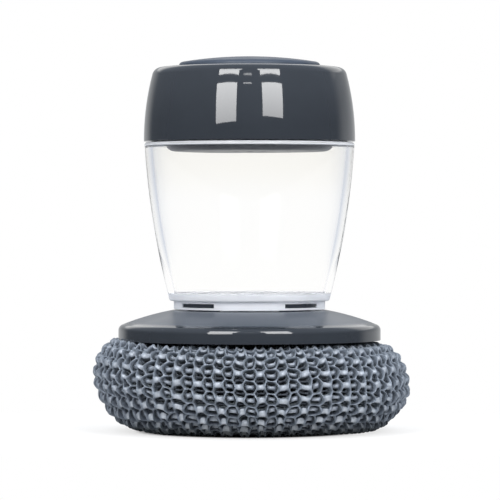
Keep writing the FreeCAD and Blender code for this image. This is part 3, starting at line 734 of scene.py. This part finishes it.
def knit_core():
    """The closed body inside the knit, painted dark as the shade deep in it."""
    rows = np.linspace(ROWS[0], ROWS[-1], CORE_ROWS)
    columns = np.arange(CORE_SEGMENTS) * KNIT_COLUMNS / CORE_SEGMENTS
    row, column = np.meshgrid(rows, columns, indexing="ij")
    flat_row = np.interp(KNIT_FLAT, MERIDIAN[:ARC_POINTS, 0], ROWS[:ARC_POINTS])
    depth = CORE_DEPTH + CORE_DEEPER * smoothstep(row, flat_row, flat_row + CORE_EASE)
    points = knit_place(column, row, depth).reshape(-1, 3)
    faces = [(a, d, c, b) for a, b, c, d in ring_faces(CORE_ROWS, CORE_SEGMENTS)]
    faces.append(tuple(reversed(range(CORE_SEGMENTS))))
    return mesh_piece("knit_core", points.tolist(), faces, knit_shade(), "head")


for part in range(KNIT_PARTS):
    outer_knit = knit_piece("knit_outer_" + str(part + 1), OUTER_LAYER, part)
    knit_piece("knit_inner_" + str(part + 1), INNER_LAYER, part)
    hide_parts("scouring_ball")
knit_core()


def lathe(profile, segments):
    """Points and quads of a closed profile of (radius, height) in millimetres, turned about Z."""
    angle = np.linspace(0.0, FULL_TURN, segments, endpoint=False)
    radius, height = np.array(profile).T
    x = np.outer(np.cos(angle), radius)
    y = np.outer(np.sin(angle), radius)
    z = np.broadcast_to(height, x.shape)
    points = np.stack([x, y, z], -1).reshape(-1, 3) * MM
    return points, ring_faces(segments, len(profile), closed=True)


def bellows_piece():
    """The soft bellows with rounded folds; sizes in millimetres."""
    low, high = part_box("pump_bellows")
    base = low.z / MM
    top = high.z / MM
    foot = 1.2
    foot_radius = 12.55
    foot_gap = 0.05
    crown = 1.2
    pole = 0.02
    mean = 8.7
    swing = 1.25
    wall = 1.2
    folds = 4
    fold_points = 81
    height = np.linspace(base + foot, top - crown, fold_points)
    wave = mean - swing * np.cos(FULL_TURN * folds * (height - height[0]) / (height[-1] - height[0]))
    profile = [(wave[0] - wall, base), (foot_radius, base), (foot_radius, base + foot - foot_gap)]
    profile += zip(wave, height)
    profile += [(wave[-1], top), (pole, top), (pole, top - crown)]
    profile += zip(wave[::-1] - wall, height[::-1])
    points, faces = lathe(profile, segments=64)
    rubber = SLOT_MATERIALS["silicone"]
    piece = mesh_piece("bellows_folds", points.tolist(), faces, rubber, "cap")
    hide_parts("pump_bellows")
    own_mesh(piece)


def spring_piece():
    """The coil spring; sizes in millimetres."""
    low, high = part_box("button_spring")
    wire = 0.58
    inset = 0.6
    turns = 6
    steps_to_turn = 48
    steps = steps_to_turn * turns
    section = 10
    base = low.z / MM + inset
    top = high.z / MM - inset
    coil = high.x / MM - inset
    share = np.linspace(0.0, 1.0, steps + 1).reshape(-1, 1)
    around = np.arange(section) * FULL_TURN / section
    radius = coil + wire * np.cos(around)
    x = radius * np.cos(FULL_TURN * turns * share)
    y = radius * np.sin(FULL_TURN * turns * share)
    z = base + (top - base) * share + wire * np.sin(around)
    points = np.stack([x, y, z], -1).reshape(-1, 3) * MM
    faces = ring_faces(steps + 1, section)
    faces.append(tuple(range(section)))
    faces.append(tuple(reversed(range(steps * section, (steps + 1) * section))))
    wire_steel = SLOT_MATERIALS["spring_steel"]
    piece = mesh_piece("spring_coil", points.tolist(), faces, wire_steel, "cap")
    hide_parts("button_spring")
    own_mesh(piece)


bellows_piece()
spring_piece()


def floor_surface():
    """Pale to the eye and dimmer to light that it throws back, fading to nothing at its edge."""
    material = bpy.data.materials.new("floor")
    material.use_nodes = True
    tree = material.node_tree
    tree.nodes.clear()
    coord = add(tree, "ShaderNodeTexCoord").outputs["Object"]
    reach = add(tree, "ShaderNodeVectorMath", {0: coord}, operation="LENGTH").outputs["Value"]
    is_seen = add(tree, "ShaderNodeLightPath").outputs["Is Camera Ray"]
    grain = noise(tree, scale=60.0)
    thrown = between(tree, grain, (0.5, 0.5, 0.5), (0.56, 0.56, 0.56))
    shown = between(tree, grain, (0.93, 0.93, 0.93), (0.96, 0.96, 0.96))
    pale = add(tree, "ShaderNodeBsdfDiffuse", {"Color": between(tree, is_seen, thrown, shown)})
    white = add(tree, "ShaderNodeEmission", {"Color": (1.0, 1.0, 1.0, 1.0), "Strength": 1.0})
    whitened = maths(tree, "MULTIPLY", is_seen, spread(tree, reach, 0.0, FLOOR_WHITE, *CONTACT_FADE))
    lit = add(tree, "ShaderNodeMixShader", {0: whitened, 1: pale.outputs[0], 2: white.outputs[0]})
    clear = add(tree, "ShaderNodeBsdfTransparent")
    fade = eased(tree, reach, *FLOOR_FADE)
    mixed = add(tree, "ShaderNodeMixShader", {0: fade, 1: lit.outputs[0], 2: clear.outputs[0]})
    add(tree, "ShaderNodeOutputMaterial", {"Surface": mixed.outputs[0]})
    return material


def floor_piece():
    """A round floor that fades into the white background and keeps the shadow."""
    points = [(0.0, 0.0, 0.0)]
    for i in range(FLOOR_SEGMENTS):
        angle = FULL_TURN * i / FLOOR_SEGMENTS
        points.append((FLOOR_RADIUS * math.cos(angle), FLOOR_RADIUS * math.sin(angle), 0.0))
    faces = [(0, i + 1, (i + 1) % FLOOR_SEGMENTS + 1) for i in range(FLOOR_SEGMENTS)]
    mesh = bpy.data.meshes.new("floor")
    mesh.from_pydata(points, [], faces)
    mesh.materials.append(floor_surface())
    floor = bpy.data.objects.new("floor", mesh)
    bpy.context.scene.collection.objects.link(floor)


floor_piece()


def studio_world():
    """White to the eye, near white through glass, a soft fill, and a room with a backdrop for gloss."""
    world = bpy.data.worlds.new("studio")
    bpy.context.scene.world = world
    world.use_nodes = True
    tree = world.node_tree
    tree.nodes.clear()
    path = add(tree, "ShaderNodeLightPath").outputs
    coord = add(tree, "ShaderNodeTexCoord").outputs["Generated"]
    split = add(tree, "ShaderNodeSeparateXYZ", {0: coord}).outputs
    facing = add(tree, "ShaderNodeVectorMath", {0: coord, 1: FILL_FROM}, operation="DOT_PRODUCT")
    toward = facing.outputs["Value"]
    overhead = spread(tree, split["Z"], 0.0, 1.0, *ROOM_CEILING)
    front = between(tree, overhead, (0.12, 0.13, 0.145), (0.38, 0.42, 0.48))
    above = spread(tree, split["Z"], 0.0, 1.0, *ROOM_FLOOR)
    room = between(tree, above, (0.85, 0.85, 0.86), front)
    on_backdrop = eased(tree, toward, *BACKDROP_REACH)
    mirrored = between(tree, on_backdrop, room, ramp(tree, split["Z"], BACKDROP))
    on_fill = spread(tree, toward, 0.0, 1.0, *FILL_REACH)
    fill = between(tree, on_fill, (0.3, 0.3, 0.31), (1.12, 1.16, 1.21))
    ahead = spread(tree, split["Y"], 0.0, 1.0, *WHITE_AHEAD)
    sheet = between(tree, ahead, (0.68, 0.72, 0.8), (1.0, 1.0, 1.0))
    soft = between(tree, path["Is Glossy Ray"], fill, mirrored)
    through = between(tree, path["Is Transmission Ray"], soft, sheet)
    seen = between(tree, path["Is Camera Ray"], through, (1.0, 1.0, 1.0))
    background = add(tree, "ShaderNodeBackground", {"Color": seen, "Strength": 1.0})
    add(tree, "ShaderNodeOutputWorld", {"Surface": background.outputs[0]})


studio_world()


def softbox(place):
    """A rectangular panel lamp in front of the object, with a radiance that changes upwards."""
    middle = math.radians((place.low + place.high) / 2)
    turn = math.radians(place.bearing)
    lamp = bpy.data.lights.new("softbox", "AREA")
    lamp.shape = "RECTANGLE"
    lamp.size = 2 * LAMP_DISTANCE * math.tan(math.radians(place.width / 2))
    lamp.size_y = 2 * LAMP_DISTANCE * math.tan(math.radians((place.high - place.low) / 2))
    # Four watts to the square metre are a radiance of one, which the strength multiplies
    lamp.energy = 4 * lamp.size * lamp.size_y
    lamp.use_nodes = True
    tree = lamp.node_tree
    across = add(tree, "ShaderNodeNewGeometry").outputs["Parametric"]
    upward = add(tree, "ShaderNodeSeparateXYZ", {0: across}).outputs["Y"]
    radiance = spread(tree, upward, place.low_radiance, place.high_radiance, 0.0, 1.0)
    feed(tree, tree.nodes["Emission"].inputs["Strength"], radiance)
    panel = bpy.data.objects.new("softbox", lamp)
    run = math.cos(middle)
    away = Vector((math.sin(turn) * run, -math.cos(turn) * run, math.sin(middle)))
    panel.location = away * LAMP_DISTANCE + LAMP_CENTRE
    roll = Quaternion((0.0, 0.0, 1.0), -LAMP_ROLL * turn)
    panel.rotation_euler = (away.to_track_quat("Z", "Y") @ roll).to_euler()
    panel.visible_camera = False
    bpy.context.scene.collection.objects.link(panel)


for lamp_place in LAMPS:
    softbox(lamp_place)


def photo_camera():
    """The camera that took the photo."""
    data = bpy.data.cameras.new("camera")
    data.lens = CAMERA_LENS
    data.sensor_width = CAMERA_FILM
    camera = bpy.data.objects.new("camera", data)
    camera.location = CAMERA_PLACE
    camera.rotation_euler = (CAMERA_PLACE - CAMERA_AIM).to_track_quat("Z", "Y").to_euler()
    bpy.context.scene.collection.objects.link(camera)
    bpy.context.scene.camera = camera


photo_camera()
bpy.context.scene.view_settings.view_transform = "Standard"
